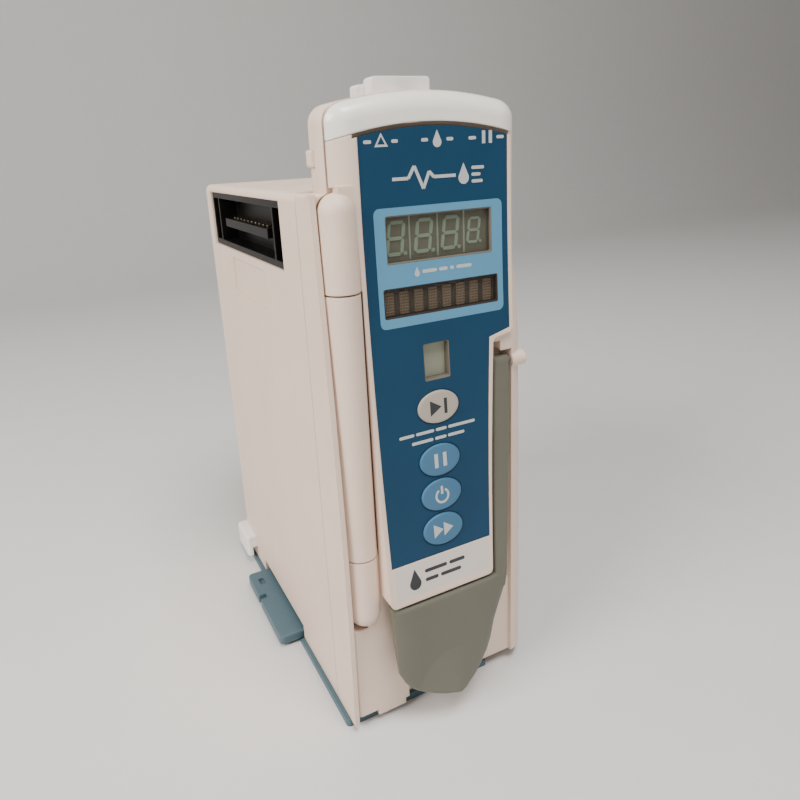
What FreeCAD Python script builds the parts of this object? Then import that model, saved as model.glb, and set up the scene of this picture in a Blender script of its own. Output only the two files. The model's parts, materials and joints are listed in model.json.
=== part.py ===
import FreeCAD, Part
import Sketcher
import os

doc = FreeCAD.newDocument("infusion_pump_module")

# ---------------------------------------------------------------- dimensions
# Frame: millimetres, Z up, the underside of the base plate at Z = 0, X across
# the front (hinge side negative), Y from the front (negative) to the rear.
sheet = doc.addObject("Spreadsheet::Sheet", "Dims")
DIMENSIONS = (
    ("case_half", 40.0, "half width of the rear case"),
    ("case_bottom", 3.0, "underside of the case on the base plate"),
    ("case_top", 193.0, "top of the rear case"),
    ("case_rear", 77.0, "rear face"),
    ("case_seam", -50.0, "joint between rear case and front housing"),
    ("wall", 2.5, "moulded wall"),
    ("tower_half", 34.6, "half width of the arched top of door and tower"),
    ("door_right", 37.6, "right edge of the door beside the lever"),
    ("door_right_low", 38.6, "right edge of the door at its foot"),
    ("housing_right", 38.6, "right side of the front housing"),
    ("tower_rear", -52.2, "rear of the tower above the case"),
    ("plan_round", 9.0, "plan radius of the front corners"),
    ("arch_radius", 130.3, "radius of the arched top"),
    ("arch_centre", 91.4, "height of the arch centre"),
    ("arch_corner", 6.0, "round at each end of the arch"),
    ("lens_depth", 9.4, "height of the status lens below the arch"),
    ("housing_face", -61.0, "front face of the housing behind the door"),
    ("door_rear", -61.5, "rear face of the door rim"),
    ("door_front", -65.8, "flat front of the door"),
    ("door_bottom", 5.4, "lower edge of the door"),
    ("sweep_radius", 1295.0, "radius of the concave front"),
    ("sweep_y", -65.5, "front of the concave face where it is vertical"),
    ("sweep_z", 209.0, "height where the concave face is vertical"),
    ("panel_left", -26.6, "left edge of the raised panel"),
    ("panel_right", 30.0, "right edge of the raised panel above the slot"),
    ("panel_bottom", 53.4, "lower edge of the raised panel"),
    ("rim", 1.6, "white rim round the keypad membrane"),
    ("membrane", 0.8, "thickness of the keypad membrane"),
    ("band_top", 68.2, "height of the white band under the membrane"),
    ("slot_left_top", 21.4, "left edge of the lever slot, at its top"),
    ("slot_left_low", 16.2, "left edge of the lever slot, at its foot"),
    ("slot_right", 30.3, "right edge of the lever slot"),
    ("slot_top", 140.4, "top of the lever slot"),
    ("slot_floor", -62.4, "floor of the lever slot"),
    ("inner_left", -25.0, "left of the door's inner box"),
    ("inner_right", 31.0, "right of the door's inner box"),
    ("inner_rear", -54.0, "rear face of the door's inner box"),
    ("inner_low", 32.0, "foot of the door's inner box"),
    ("inner_high", 204.0, "top of the door's inner box"),
    ("bay_left", -27.0, "left wall of the housing bay"),
    ("bay_right", 32.6, "right wall of the housing bay"),
    ("bay_low", 30.0, "foot of the housing bay"),
    ("bay_high", 206.0, "top of the housing bay"),
    ("hinge_x", -32.0, "hinge axis"),
    ("hinge_y", -63.5, "hinge axis"),
    ("barrel", 5.7, "radius of the hinge barrel"),
    ("barrel_gap", 0.5, "clearance round the barrel"),
    ("barrel_low", 49.0, "foot of the lower barrel, before its dome"),
    ("barrel_mid_low", 71.4, "lower end of the fixed knuckle"),
    ("barrel_mid_high", 163.2, "upper end of the fixed knuckle"),
    ("barrel_high", 187.6, "top of the upper barrel, before its dome"),
    ("pin", 1.6, "radius of the hinge pin"),
    ("running", 0.08, "radial running fit"),
    ("pivot_y", -63.5, "lever pivot"),
    ("pivot_z", 130.5, "lever pivot"),
    ("pivot_round", 3.9, "radius of the lever round its pivot"),
    ("lever_right_top", 28.4, "right edge of the lever arm at the pivot"),
    ("lever_right_mid", 24.7, "right edge of the lever arm halfway down"),
    ("lever_right_low", 22.3, "right edge of the lever arm at its foot"),
    ("key_half_x", 7.9, "half width of a key"),
    ("key_half_z", 5.6, "half height of a key"),
    ("key_rise", 0.6, "how far a key stands in front of the membrane"),
    ("key_gap", 0.4, "clearance round a key"),
    ("select_x", -2.2, "centre of the select key"),
    ("select_z", 121.1, "height of the select key"),
    ("pause_x", -3.0, "centre of the pause key"),
    ("pause_z", 102.3, "height of the pause key"),
    ("off_x", -3.4, "centre of the off key"),
    ("off_z", 89.7, "height of the off key"),
    ("restart_x", -3.9, "centre of the restart key"),
    ("restart_z", 77.1, "height of the restart key"),
    ("connector_front", -33.0, "front end of a side connector"),
    ("connector_back", 66.0, "rear end of a side connector"),
    ("connector_low", 167.0, "foot of a side connector"),
    ("connector_high", 190.0, "top of a side connector"),
    ("latch_front", -10.5, "front end of the release latch"),
    ("latch_back", 41.5, "rear end of the release latch"),
    ("channel_x", -1.0, "centre line of the tubing channel"),
    ("finger_pitch", 5.2, "spacing of the pumping fingers"),
    ("fingers", 12, "number of pumping fingers"),
    ("cam_y", -22.0, "camshaft axis"),
    ("motor_half", 14.0, "half width of the motor"),
    ("screw_x", 35.6, "case screw columns"),
    ("boss_left", -12.6, "left of the upper fitment holder"),
    ("boss_right", 7.8, "right of the upper fitment holder"),
    ("boss_rear", -46.0, "rear face of the holder's tall front block"),
    ("boss_top", 226.4, "overall height"),
)
for row, (alias, value, note) in enumerate(DIMENSIONS, start=1):
    sheet.set(f"A{row}", note)
    sheet.set(f"B{row}", str(value))
    sheet.setAlias(f"B{row}", alias)
doc.recompute()
NAMES = sorted((name for name, _, _ in DIMENSIONS), key=len, reverse=True)
VALUE = {name: value for name, value, _ in DIMENSIONS}


# ------------------------------------------------------------------- helpers
def bound(text):
    """Turn the bare names in a size into references to the sheet."""
    words = []
    for word in str(text).replace("(", " ( ").replace(")", " ) ").split():
        sign = "-" if word.startswith("-") and word[1:] in VALUE else ""
        bare = word[len(sign):]
        words.append(f"{sign}Dims.{bare}" if bare in VALUE else word)
    return " ".join(words)


def place(obj, x, y, z, rotation=None):
    if rotation is not None:
        obj.Placement = FreeCAD.Placement(FreeCAD.Vector(), rotation)
    for axis, value in (("x", x), ("y", y), ("z", z)):
        obj.setExpression(f"Placement.Base.{axis}", bound(value))
    return obj


counter = {"n": 0}


def add(kind):
    counter["n"] += 1
    return doc.addObject(kind, f"Step{counter['n']:03d}")


def box(x, y, z):
    """A block from three (low, high) pairs."""
    obj = add("Part::Box")
    for prop, (low, high) in (("Length", x), ("Width", y), ("Height", z)):
        obj.setExpression(prop, f"({bound(high)}) - ({bound(low)})")
    return place(obj, x[0], y[0], z[0])


TURN = {
    "x": FreeCAD.Rotation(FreeCAD.Vector(0, 1, 0), 90),
    "y": FreeCAD.Rotation(FreeCAD.Vector(1, 0, 0), -90),
    "z": FreeCAD.Rotation(),
}


def rod(axis, radius, low, high, at):
    """A cylinder along one axis; `at` gives the other two coordinates."""
    obj = add("Part::Cylinder")
    obj.setExpression("Radius", bound(radius))
    obj.setExpression("Height", f"({bound(high)}) - ({bound(low)})")
    base = {"x": (low, at[0], at[1]), "y": (at[0], low, at[1]), "z": (at[0], at[1], low)}[axis]
    return place(obj, *base, rotation=TURN[axis])


def ball(radius, x, y, z):
    obj = add("Part::Sphere")
    obj.setExpression("Radius", bound(radius))
    return place(obj, x, y, z)


def oval(half_x, half_z, x, z, low, high):
    """An elliptic prism along Y."""
    ring = add("Part::Ellipse")
    ring.setExpression("MajorRadius", bound(half_x))
    ring.setExpression("MinorRadius", bound(half_z))
    place(ring, x, low, z, rotation=FreeCAD.Rotation(FreeCAD.Vector(1, 0, 0), 90))
    solid = add("Part::Extrusion")
    solid.Base = ring
    solid.DirMode = "Custom"
    solid.Dir = FreeCAD.Vector(0, 1, 0)
    solid.Solid = True
    solid.setExpression("LengthFwd", f"({bound(high)}) - ({bound(low)})")
    return solid


def outline(points, axis, low, high):
    """A prism from named corner points; `axis` is the extrusion axis."""
    sketch = add("Sketcher::SketchObject")
    turned = {"y": FreeCAD.Rotation(FreeCAD.Vector(1, 0, 0), 90),
              "x": FreeCAD.Rotation(FreeCAD.Vector(1, 1, 1), 120)}[axis]
    sketch.Placement = FreeCAD.Placement(FreeCAD.Vector(), turned)
    count = len(points)
    corners = [FreeCAD.Vector(10.0 * i, 10.0 * (i % 2) + i, 0) for i in range(count)]
    for i in range(count):
        sketch.addGeometry(Part.LineSegment(corners[i], corners[(i + 1) % count]), False)
    for i in range(count):
        sketch.addConstraint(Sketcher.Constraint("Coincident", i, 2, (i + 1) % count, 1))
    for i, (u, v) in enumerate(points):
        for kind, value in (("DistanceX", u), ("DistanceY", v)):
            constraint = sketch.addConstraint(Sketcher.Constraint(kind, -1, 1, i, 1, 1.0))
            sketch.setExpression(f"Constraints[{constraint}]", bound(value))
    solid = add("Part::Extrusion")
    solid.Base = sketch
    solid.DirMode = "Custom"
    solid.Dir = FreeCAD.Vector(0, 1, 0) if axis == "y" else FreeCAD.Vector(1, 0, 0)
    solid.Solid = True
    solid.setExpression("LengthFwd", f"({bound(high)}) - ({bound(low)})")
    base = ("0", low, "0") if axis == "y" else (low, "0", "0")
    for name, value in zip("xyz", base):
        sketch.setExpression(f"Placement.Base.{name}", bound(value))
    return solid


def fuse(*items):
    if len(items) == 1:
        return items[0]
    obj = add("Part::MultiFuse")
    obj.Shapes = list(items)
    return obj


def cut(base, *tools):
    obj = add("Part::Cut")
    obj.Base = base
    obj.Tool = fuse(*tools)
    return obj


def common(*items):
    obj = add("Part::MultiCommon")
    obj.Shapes = list(items)
    return obj


def group(*items):
    obj = add("Part::Compound")
    obj.Links = list(items)
    return obj


def along(edge, axis):
    if edge.Curve.TypeId != "Part::GeomLine":
        return False
    return abs(getattr(edge.Curve.Direction, axis)) > 0.999


def rounded(base, radius, choose):
    """Round the edges for which choose(edge, centre) is true."""
    doc.recompute()
    picked = [i for i, edge in enumerate(base.Shape.Edges, start=1)
              if choose(edge, edge.CenterOfMass)]
    assert picked, "no edge to round"
    obj = add("Part::Fillet")
    obj.Base = base
    size = VALUE.get(radius, radius)
    obj.Edges = [(i, size, size) for i in picked]
    doc.recompute()
    assert obj.Shape.isValid() and not obj.Shape.isNull(), "fillet failed"
    return obj


def soft_box(x, y, z, axis, radius):
    """A block with its four edges along one axis rounded."""
    return rounded(box(x, y, z), radius, lambda edge, mid: along(edge, axis))


def tube(axis, outer, inner, low, high, at):
    return cut(rod(axis, outer, low, high, at),
               rod(axis, inner, f"{low} - 1", f"{high} + 1", at))


NODES = []


def node(label, obj):
    obj.Label = label
    NODES.append(obj)
    return obj


def sweep(extra):
    """Everything in front of the concave face, moved back by `extra`."""
    return rod("x", f"sweep_radius + {extra}", -60, 60, ("sweep_y - sweep_radius", "sweep_z"))


def arch(drop):
    return rod("y", f"arch_radius - ( {drop} )", -100, 20, (0, "arch_centre"))


def front_outline(low):
    """The shared front outline: arched top, rounded plan corners, wider beside the lever."""
    right = [("tower_half", 240), ("tower_half", "slot_top + 29"), ("door_right", "slot_top + 1"),
             ("door_right_low", 46), ("door_right_low", low)]
    if low == "case_top - 5":
        right = [("tower_half", 240), ("tower_half", low)]
    blank = outline([("-tower_half", low), ("-tower_half", 240)] + right, "y", "door_front", -30)
    blank = rounded(blank, "plan_round",
                    lambda edge, mid: abs(mid.x) > 30 and mid.y < VALUE["door_front"] + 1)
    blank = common(blank, arch(0))
    return rounded(blank, "arch_corner",
                   lambda edge, mid: along(edge, "y") and mid.z > 200)


# ------------------------------------------------------------- rear case
def side_boxes(depth_in, grow):
    """The two side openings, one on each flank."""
    y = (f"connector_front - {grow}", f"connector_back + {grow}")
    z = (f"connector_low - {grow}", f"connector_high + {grow}")
    return (box(("-case_half - 2", f"-case_half + {depth_in}"), y, z),
            box((f"case_half - {depth_in}", "case_half + 2"), y, z))


shell = box(("-case_half", "case_half"), ("case_seam", "case_rear"), ("case_bottom", "case_top"))
shell = rounded(shell, 3.0, lambda edge, mid: mid.y > VALUE["case_rear"] - 1 or (
    along(edge, "y") and mid.z > VALUE["case_top"] - 1))
hollow = box(("-case_half + wall", "case_half - wall"), ("case_seam - 1", "case_rear - wall"),
             ("case_bottom + wall", "case_top - wall"))
label_panel = box(("-case_half - 1", "-case_half + 0.6"), (-9, 37), (149, 163.5))
label_panel_right = box(("case_half - 0.6", "case_half + 1"), (-9, 37), (149, 163.5))
latch_gap = box(("-case_half - 1", 0), ("latch_front - 2", "latch_back + 2"), (2, 9.2))
vents = [box((-22, 22), ("case_rear - 4", "case_rear + 1"), (40 + 9 * i, 43 + 9 * i)) for i in range(6)]
CORNERS = tuple((x, z) for x in ("-screw_x", "screw_x") for z in (10.5, 158))
posts = [rod("y", 4, -46, "case_rear - 1", at) for at in CORNERS]
trimmed = common(fuse(*posts), box(("-case_half + 1", "case_half - 1"), (-50, "case_rear - 1"), (5, 180)))
bores = [rod("y", 1.5, -47, "case_rear + 1", at) for at in CORNERS]
heads = [rod("y", 3.2, "case_rear - 3", "case_rear + 1", at) for at in CORNERS]
case = cut(shell, hollow, label_panel, label_panel_right, latch_gap, *side_boxes(3.0, 0.15), *vents)
node("rear_case", cut(fuse(case, trimmed), *bores, *heads))


def cross_screw(shank, head, low, seat, top, at):
    """A screw along Y with a crossed recess in its head."""
    x, z = at
    body = fuse(rod("y", shank, low, seat, at), rod("y", head, seat, top, at))
    slots = [box((f"{x} - {u}", f"{x} + {u}"), (f"{top} - 0.7", f"{top} + 1"), (z - v, z + v))
             for u, v in ((0.7 * head, 0.35), (0.35, 0.7 * head))]
    return cut(body, *slots)


node("case_screws", group(*[cross_screw(1.4, 2.9, -56, "case_rear - 3", "case_rear - 0.8", at)
                            for at in CORNERS]))

# ---------------------------------------------------------- front housing
lower = box(("-case_half", "housing_right"), ("housing_face", "case_seam - 0.3"), ("case_bottom", "case_top"))
lower = rounded(lower, 10.3, lambda edge, mid: along(edge, "z") and mid.x > 0 and mid.y < -60)
lower = rounded(lower, 1.2, lambda edge, mid: along(edge, "y") and mid.z > VALUE["case_top"] - 1)
RIDGE_PROFILE = ((-66.5, "case_bottom"), (-67.7, 40), (-67.8, 76), (-67.2, 100), (-66.3, 125), (-65.4, 145),
                 (-63.8, 177), (-63.0, "case_top"))
ridge = outline((("housing_face + 1", "case_bottom"),) + RIDGE_PROFILE + (("housing_face + 1", "case_top"),),
                "x", "-case_half", "hinge_x - barrel - barrel_gap")
tower = cut(front_outline("case_top - 5"), box((-60, 60), (-80, "housing_face"), (100, 240)),
            box((-60, 60), ("tower_rear", 0), (100, 240)))
relief = [rod("z", "barrel + barrel_gap", low, high, ("hinge_x", "hinge_y"))
          for low, high in ((0, "barrel_mid_low"), ("barrel_mid_high", "barrel_high"))]
relief.append(ball("barrel + barrel_gap", "hinge_x", "hinge_y", "barrel_high"))
relief.append(rod("z", 3.0, 150, 240, ("hinge_x", "hinge_y")))
knuckle = fuse(rod("z", "barrel", "barrel_mid_low + 0.3", "barrel_mid_high - 0.3", ("hinge_x", "hinge_y")),
               box(("-case_half", "hinge_x + 5.4"), ("hinge_y", "housing_face + 1"),
                   ("barrel_mid_low + 0.3", "barrel_mid_high - 0.3")))
bay = fuse(box(("bay_left", "bay_right"), (-70, "case_seam - 0.3"), ("bay_low", "case_top - 0.8")),
           box(("bay_left", "bay_right"), (-70, "tower_rear - 1.2"), ("bay_low", "bay_high")))
screw_bores = [rod("y", 1.45, -56.4, -40, at) for at in CORNERS]
tube_top = rod("z", 4.6, 195, 240, ("channel_x", -57.5))
tube_slot_top = box(("channel_x - 4.6", "channel_x + 4.6"), (-70, -57.5), (195, 240))
tube_foot = rod("z", 3.0, 0, 60, ("channel_x", -57.5))
tube_slot_foot = box(("channel_x - 3", "channel_x + 3"), (-70, -57.5), (0, 60))
pin_bore = rod("z", "pin + running", 0, 240, ("hinge_x", "hinge_y"))
housing = cut(fuse(lower, ridge, tower), *relief)
housing = cut(fuse(housing, knuckle), bay, tube_top, tube_slot_top, tube_foot,
              tube_slot_foot, pin_bore, *screw_bores)
nub = box(("-tower_half - 1.6", "-tower_half + 1"), ("tower_rear - 3.6", "tower_rear"), (200.5, 205.5))
nub = rounded(nub, 1.0, lambda edge, mid: mid.x < -VALUE["tower_half"] - 1)
node("front_housing", fuse(housing, nub))

node("hinge_pin", rod("z", "pin", 43, 192, ("hinge_x", "hinge_y")))

# ------------------------------------------------------------- base parts
plate = box(("-case_half - 1.5", "case_half - 0.4"), ("case_seam", "case_rear - 2"), (0, "case_bottom - 0.1"))
plate_toe = box(("-case_half - 1.5", 20), (-62.6, "case_seam + 1"), (0, "case_bottom - 0.1"))
plate = rounded(fuse(plate, plate_toe), 1.6, lambda edge, mid: along(edge, "z") and abs(mid.x) > 30)
spring_slot = box((-43, -10), ("latch_front - 2", "latch_back + 2"), (1.2, 6))
tube_notch = box(("channel_x - 3", "channel_x + 3"), (-70, -54.5), (-1, 6))
feet = [rod("z", 4.5, -1, 1.0, (x, y)) for x in (-26, 26) for y in (-44, 64)]
node("base_plate", cut(plate, spring_slot, tube_notch, *feet))
node("base_feet", group(*[rod("z", 4.2, 0, 1.0, (x, y)) for x in (-26, 26) for y in (-44, 64)]))

tab = soft_box((-50, -15), ("latch_front", "latch_back"), (1.7, 5.6), "z", 2.0)
tab = rounded(tab, 0.8, lambda edge, mid: along(edge, "y") and mid.x < -45 and mid.z > 5)
tab_notch = box((-51, -46.6), (19.4, 22.4), (0, 7))
tab_slit = box((-46.6, -44.2), (30, 35), (4.4, 7))
tab_pocket = box((-30, -20), ("latch_front + 16", "latch_back - 16"), (3.2, 7))
node("release_latch", cut(tab, tab_notch, tab_slit, tab_pocket))
node("release_springs", group(*[
    fuse(rod("x", 1.1, -10.4, -3.6, (y, 4.7)),
         *[rod("x", 1.7, -10.2 + 1.5 * i, -9.3 + 1.5 * i, (y, 4.7)) for i in range(4)])
    for y in ("latch_front + 12", "latch_back - 12")]))
node("spring_stop", cut(box((-3.6, -1.0), ("latch_front + 6", "latch_back - 6"), ("case_bottom - 0.1", 8.5)),
                        box((-5, 0), ("latch_front + 18", "latch_back - 18"), (4.2, 12))))

hook = box(("-case_half - 5", "-case_half"), (57, 76), (5, 15.5))
hook = rounded(hook, 1.6, lambda edge, mid: mid.x < -VALUE["case_half"] - 4.5 and mid.z > 6)
hook_slot = box(("-case_half - 2.4", "-case_half"), (56, 71), (4, 9.6))
node("locating_hook", cut(hook, hook_slot))

# ------------------------------------------------------- side connectors
def connector(side):
    """Shell and contacts of one flank connector; side is -1 or 1."""
    def span(near, far):
        ends = sorted((side * near, side * far))
        return (ends[0], ends[1])
    half = VALUE["case_half"]
    body = box(span(half - 11, half - 0.9), ("connector_front", "connector_back"),
               ("connector_low", "connector_high"))
    body = rounded(body, 1.2, lambda edge, mid: along(edge, "x"))
    mouth = box(span(half - 8.5, half + 3), ("connector_front + 11.4", "connector_back - 11.4"),
                ("connector_low + 2.4", "connector_high - 2.4"))
    ends = [box(span(half - 8.5, half + 3), (low, high), ("connector_low + 2.4", "connector_high - 2.4"))
            for low, high in (("connector_front + 1.6", "connector_front + 10"),
                              ("connector_back - 10", "connector_back - 1.6"))]
    rail = box(span(half - 9, half - 1.2), ("connector_front + 19", "connector_back - 19"),
               ("connector_low + 9", "connector_low + 12.4"))
    shell_part = fuse(cut(body, mouth, *ends), rail)
    pins = [box(span(half - 8.5, half - 3.4), (-8 + 5.2 * i, -6 + 5.2 * i), (z, f"{z} + 0.7"))
            for i in range(10) for z in ("connector_low + 8.3", "connector_low + 12.4")]
    blades = [box(span(half - 8.5, half - 2.4), (y, f"{y} + 1.2"), ("connector_low + 7", "connector_high - 5"))
              for y in ("connector_front + 5.4", "connector_back - 6.6")]
    return shell_part, group(*pins, *blades)


for side, word in ((-1, "left"), (1, "right")):
    shell_part, contacts = connector(side)
    node(f"connector_shell_{word}", shell_part)
    node(f"connector_contacts_{word}", contacts)

# ------------------------------------------------------------ door frame
rim_blank = cut(front_outline("door_bottom"),
                box((-60, 60), ("door_rear", 0), (0, 260)))
side_cut = box((-60, "hinge_x + 6.7"), (-90, -50), (0, 194.6))
foot_flap = rounded(box(("hinge_x - barrel", "hinge_x + 7"), ("door_front", "door_rear"), ("door_bottom", 42.6)),
                    1.2, lambda edge, mid: along(edge, "z") and mid.x < -37)
foot_lip = box((-30, -18.6), ("door_front", "door_rear - 1.4"), (3.0, "door_bottom + 1"))
webs = [box(("hinge_x", "hinge_x + 7"), ("door_front", "door_rear"), (low, high))
        for low, high in ((42, "barrel_mid_low - 0.3"), ("barrel_mid_high + 0.3", 195))]
barrels = [rod("z", "barrel", low, high, ("hinge_x", "hinge_y"))
           for low, high in (("barrel_low", "barrel_mid_low - 0.3"),
                             ("barrel_mid_high + 0.3", "barrel_high"))]
domes = [ball("barrel", "hinge_x", "hinge_y", "barrel_low"),
         ball("barrel", "hinge_x", "hinge_y", "barrel_high")]
raised = outline((("panel_left", "panel_bottom"), ("slot_left_low - 0.8", "panel_bottom"),
                  ("slot_left_top", "slot_top"), ("panel_right", "slot_top + 1.5"),
                  ("panel_right", 211), ("panel_left", 211)), "y", -80, "door_rear")
raised = rounded(raised, 2.2, lambda edge, mid: along(edge, "y") and mid.z < 200)
raised = cut(raised, sweep(0))
groove = cut(common(box(("panel_left", "panel_right"), (-70, -64.6), (200, 216)), arch("lens_depth")),
             arch("lens_depth + 1.3"))
inner = box(("inner_left", "inner_right"), ("door_rear - 1", "inner_rear"), ("inner_low", "inner_high"))
slot = outline((("slot_left_low", 40), ("slot_left_low", "panel_bottom"), ("slot_left_top", "pivot_z"),
                ("slot_right", "pivot_z"), ("slot_right", 40)), "y", -90, "slot_floor")
slot_deep = box(("slot_left_top", 25.4), (-90, "pivot_y + pivot_round + 0.5"), ("pivot_z - 9", "slot_top - 1.6"))
slot_turn = rod("x", 5.1, "slot_left_top", "slot_right", ("pivot_y", "pivot_z"))
door = cut(rim_blank, side_cut)
door = fuse(door, foot_flap, foot_lip, *webs, *barrels, *domes, raised, inner)
lens_cut = cut(box((-60, 60), (-90, "door_rear + 0.01"), (200, 260)), arch("lens_depth + 0.15"))
membrane_pocket = cut(
    common(outline((("panel_left + rim", "band_top"), ("slot_left_low + 0.6 - rim", "band_top"),
                    ("slot_left_top - rim", "slot_top + 1"), ("panel_right - rim", "slot_top + 3.1"),
                    ("panel_right - rim", 215), ("panel_left + rim", 215)), "y", -80, -60),
           sweep("membrane"), arch("lens_depth + 1.2")), sweep(-3))
cavity = box(("inner_left + 2", "slot_left_low - 2.4"), (-63.2, "inner_rear + 1"),
             ("inner_low + 26", "inner_high - 2"))
cavity_top = box(("slot_left_low - 3", "inner_right - 2"), (-63.2, "inner_rear + 1"),
                 ("slot_top + 3", "inner_high - 2"))
windows = [box((-20.3, 24.6), (-70, -62), (169.4, 186.2)),
           box((-20.3, 24.6), (-70, -62), (152.4, 163.8)),
           box((-7.3, 4.2), (-70, -62), (129.8, 144.2))]
KEYS = tuple((word, f"{word}_x", f"{word}_z") for word in ("select", "pause", "off", "restart"))
key_holes = [oval("key_half_x + key_gap", "key_half_z + key_gap", x, z, -80, -62) for _, x, z in KEYS]
pivot_bore = rod("x", "pin + running", "slot_left_top - 6", "slot_right + 4.7", ("pivot_y", "pivot_z"))
lever_pocket = box(("panel_left - 0.2", "slot_right"), (-90, "door_front + 1.6"), (0, "panel_bottom - 1"))
lever_pocket = cut(lever_pocket, box((-60, -17), (-90, -60), (0, 60)))
foot_notch = box((-16.8, 13), (-90, -60), (0, 11))
hinge_clear = rod("z", "barrel + barrel_gap", "barrel_mid_low - 0.3", "barrel_mid_high + 0.3",
                  ("hinge_x", "hinge_y"))
tube_clear = box(("channel_x - 3", "channel_x + 3"), (-56.6, -50), (20, 210))
seat_clear = box(("channel_x - 9.8", "channel_x + 9.8"), (-58.8, -50), (20, 47))
tooth_window = box((18.4, 25.6), (-64, -50), (63, 82))
SCREWS = tuple((x, z) for x in (-20, 11) for z in (66, 138)) + ((-20, 189.4), (26, 189.4))
door_posts = [rod("y", 2.6, -63.4, -56, at) for at in SCREWS]
door_bores = [rod("y", 1.15, -60.4, -50, at) for at in SCREWS]
pivot_boss = rod("x", 2.9, "slot_right", 36.2, ("pivot_y - 0.3", "pivot_z"))
door = cut(door, slot, slot_deep, slot_turn, lens_cut, groove, membrane_pocket, cavity, cavity_top, *windows,
           *key_holes, lever_pocket, foot_notch, hinge_clear, tube_clear,
           seat_clear, tooth_window)
door = cut(fuse(door, *door_posts, pivot_boss), pivot_bore, *door_bores,
           rod("z", "pin + running", 0, 193, ("hinge_x", "hinge_y")))
node("door_frame", door)

lens = cut(front_outline("case_top - 5"), arch("lens_depth"),
           box((-60, 60), ("door_rear", 0), (0, 260)),
           box((-14, -8), (-64.4, -50), (0, 217)), box((-3, 3), (-64.4, -50), (0, 218)),
           box((8, 14), (-64.4, -50), (0, 217)))
node("status_lens", lens)

membrane = cut(common(outline((("panel_left + rim + 0.1", "band_top + 0.1"),
                               ("slot_left_low + 0.5 - rim", "band_top + 0.1"),
                               ("slot_left_top - rim - 0.1", "slot_top + 1"),
                               ("panel_right - rim - 0.1", "slot_top + 3.2"),
                               ("panel_right - rim - 0.1", 215), ("panel_left + rim + 0.1", 215)),
                              "y", -80, -60), sweep("membrane"), arch("lens_depth + 1.3")), sweep(0.05))
membrane = cut(membrane, *[oval("key_half_x + key_gap", "key_half_z + key_gap", x, z, -80, -62)
                           for _, x, z in KEYS],
               box((-17.4, 21.8), (-70, -62), (170.3, 185.2)),
               box((-19.4, 23.8), (-70, -62), (153.3, 162.9)),
               box((-6.5, 3.4), (-70, -62), (130.5, 143.3)))
node("keypad_membrane", membrane)

# ------------------------------------------------------- keys and displays
def key(label, x, z):
    """An oval cap with a stem and a stop flange behind the door wall."""
    top = oval("key_half_x", "key_half_z", x, z, -80, -63)
    top = cut(top, rod("x", "sweep_radius - key_rise", -60, 60, ("sweep_y - sweep_radius", "sweep_z")))
    flange = oval("key_half_x + 1.4", "key_half_z + 0.5", x, z, -63.1, -61.9)
    return node(label, fuse(top, flange))


for word, x, z in KEYS:
    key(f"{word}_key", x, z)

node("rate_window", box((-20.1, 24.4), (-64.8, -64.0), (169.6, 186.0)))


def digit(x, scale):
    """One seven-segment digit as raised bars."""
    wide = 5.4 * scale
    tall = 5.0 * scale
    bar = 0.9 * scale
    mid = 177.6
    bars = [box((x + bar, x + wide - bar), (-64.0, -63.5), (mid + k * tall - bar / 2, mid + k * tall + bar / 2))
            for k in (-1, 0, 1)]
    bars += [box((x + k * wide - bar / 2, x + k * wide + bar / 2), (-64.0, -63.5),
                 (mid + s * tall + bar, mid + (s + 1) * tall - bar))
             for k in (0, 1) for s in (-1, 0)]
    return bars


DIGITS = ((-16.4, 1.0), (-5.8, 1.0), (4.8, 1.0), (15.6, 0.8))
node("rate_digits", group(*[bar for x, scale in DIGITS for bar in digit(x, scale)]))
node("rate_module", cut(box((-20.1, 24.4), (-63.5, -60.6), (169.6, 186.0)),
                        *[box((x, x + 0.4), (-64, -63.1), (170.4, 185.6)) for x in (-8.4, 2.2, 13.0)]))
node("message_window", box((-20.1, 24.4), (-65.4, -64.8), (152.6, 163.6)))
node("message_cells", group(*[box((-18.2 + 5.3 * i, -15.3 + 5.3 * i), (-64.8, -64.4), (154.0, 161.2))
                              for i in range(8)]))
node("message_module", box((-20.1, 24.4), (-64.4, -60.6), (152.6, 163.6)))
node("channel_window", box((-7.1, 4.0), (-64.6, -63.8), (130.0, 144.0)))
node("channel_module", cut(box((-7.1, 4.0), (-63.8, -60.6), (130.0, 144.0)),
                           box((-4.6, 1.4), (-64.6, -63.2), (133.6, 140.8))))
board = box(("inner_left + 2.4", "inner_right - 2.4"), (-60.6, -59.2), ("slot_top + 4", "inner_high - 2.6"))
board_low = box(("inner_left + 2.4", "slot_left_low - 2.8"), (-60.6, -59.2),
                ("inner_low + 26.4", "slot_top + 5"))
chips = [box((x, x + 8), (-59.2, -57.8), (z, z + 6)) for x in (-18, -6, 8) for z in (150, 176)]
node("display_board", cut(fuse(board, board_low, *chips), *[rod("y", 2.9, -62, -57, at) for at in SCREWS]))
node("key_switches", group(*[rod("y", 3.0, -60.9, -60.6, (x, z)) for _, x, z in KEYS]))
node("status_leds", group(*[box((x - 2.2, x + 2.2), (-64.2, -61.6), (low, 216))
                            for x, low in ((-11, 211.9), (0, 212.2), (11, 211.9))]))

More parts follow.
